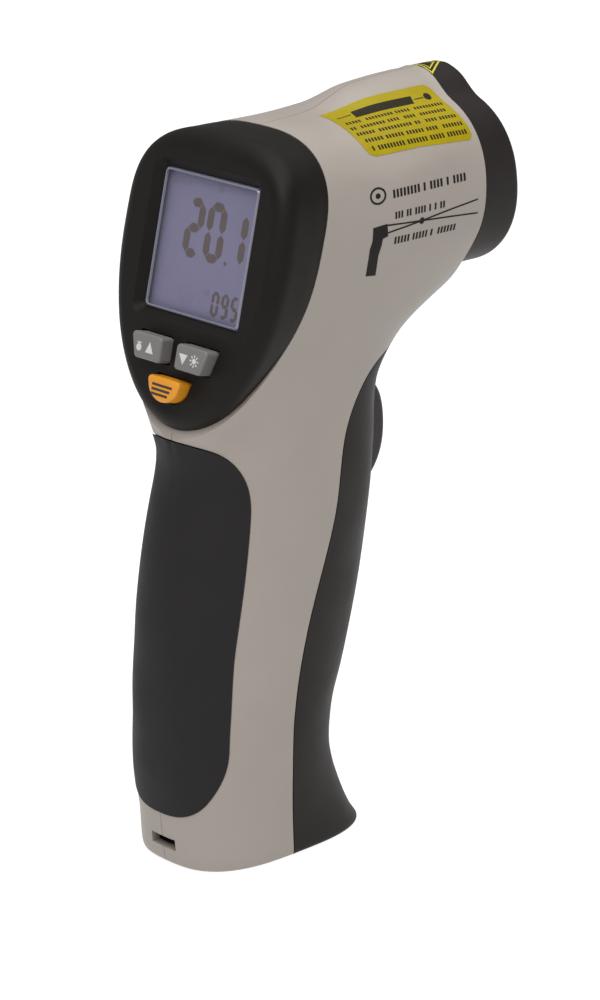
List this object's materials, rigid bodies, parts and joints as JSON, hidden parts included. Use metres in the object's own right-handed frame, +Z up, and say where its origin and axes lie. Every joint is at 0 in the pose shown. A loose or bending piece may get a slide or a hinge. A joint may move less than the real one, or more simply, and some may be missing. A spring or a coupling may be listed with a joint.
{
  "type": "infrared thermometer",
  "caption": "Pistol-grip infrared thermometer with a tilted display, keys, trigger, sensor nose with aiming laser, and a hinged battery door along the front of the grip.",
  "frame": {"origin": "middle of the seam on the flat base that the grip stands on", "axes": "+Z up the grip, +Y along the barrel towards the sensor, +X to the user's right; the display faces -Y and leans back 13 degrees"},
  "size_m": [0.0472, 0.0865, 0.157],
  "materials": {
    "shell_plastic": "fine matt texture",
    "bezel_plastic": "satin",
    "dark_plastic": "fine matt texture",
    "pad_rubber": "matt, fine texture",
    "key_rubber": "matt",
    "mode_rubber": "matt",
    "trigger_plastic": "satin",
    "clear_window": "clear, polished",
    "lcd_glass": "polarised display glass",
    "diffuser": "milky",
    "board_laminate": "solder mask",
    "chip_epoxy": "matt",
    "black_plastic": "matt black",
    "steel": "plated",
    "brass": "turned",
    "infrared_glass": "coated",
    "elastomer": "matt",
    "battery_can": "printed sleeve, plain"
  },
  "bodies": {
    "housing": {"right_shell": "shell_plastic", "left_shell": "shell_plastic", "shell_screws": "steel", "door_hinge_pin": "steel", "grip_pad": "pad_rubber", "display_bezel": "bezel_plastic", "lcd_window": "clear_window", "lcd_panel": "lcd_glass", "backlight_panel": "diffuser", "zebra_strip": "elastomer", "main_board": "board_laminate", "board_chips": "chip_epoxy", "board_screws": "steel", "buzzer": "black_plastic", "key_switches": "black_plastic", "nose_ring": "dark_plastic", "lens_cone": "black_plastic", "ir_lens": "infrared_glass", "sensor_can": "steel", "sensor_board": "board_laminate", "laser_module": "brass", "laser_window": "clear_window", "trigger_spring": "steel", "switch_board": "board_laminate", "trigger_switch": "black_plastic", "battery": "battery_can", "battery_snap": "black_plastic"},
    "battery_door": {"battery_door": "dark_plastic"},
    "up_key": {"up_key": "key_rubber"},
    "down_key": {"down_key": "key_rubber"},
    "mode_key": {"mode_key": "mode_rubber"},
    "trigger": {"trigger": "trigger_plastic"}
  },
  "joints": [
    {"name": "up_key_press", "type": "slide", "parent": "housing", "child": "up_key", "axis": [0, 0.9744, -0.225], "range_m": [0, 0.0009], "stiffness_N_per_m": 1500, "springref_m": -0.0003},
    {"name": "down_key_press", "type": "slide", "parent": "housing", "child": "down_key", "axis": [0, 0.9744, -0.225], "range_m": [0, 0.0009], "stiffness_N_per_m": 1500, "springref_m": -0.0003},
    {"name": "mode_key_press", "type": "slide", "parent": "housing", "child": "mode_key", "axis": [0, 0.9744, -0.225], "range_m": [0, 0.0009], "stiffness_N_per_m": 1500, "springref_m": -0.0003},
    {"name": "trigger_pull", "type": "slide", "parent": "housing", "child": "trigger", "axis": [0, -1, 0], "range_m": [0, 0.0025], "stiffness_N_per_m": 800, "springref_m": -0.0006, "deforming": ["trigger_spring"]},
    {"name": "door_hinge", "type": "hinge", "parent": "housing", "child": "battery_door", "pos_m": [0, 0.018, 0.0018], "axis": [-1, 0, 0], "range_deg": [0, 75]}
  ]
}
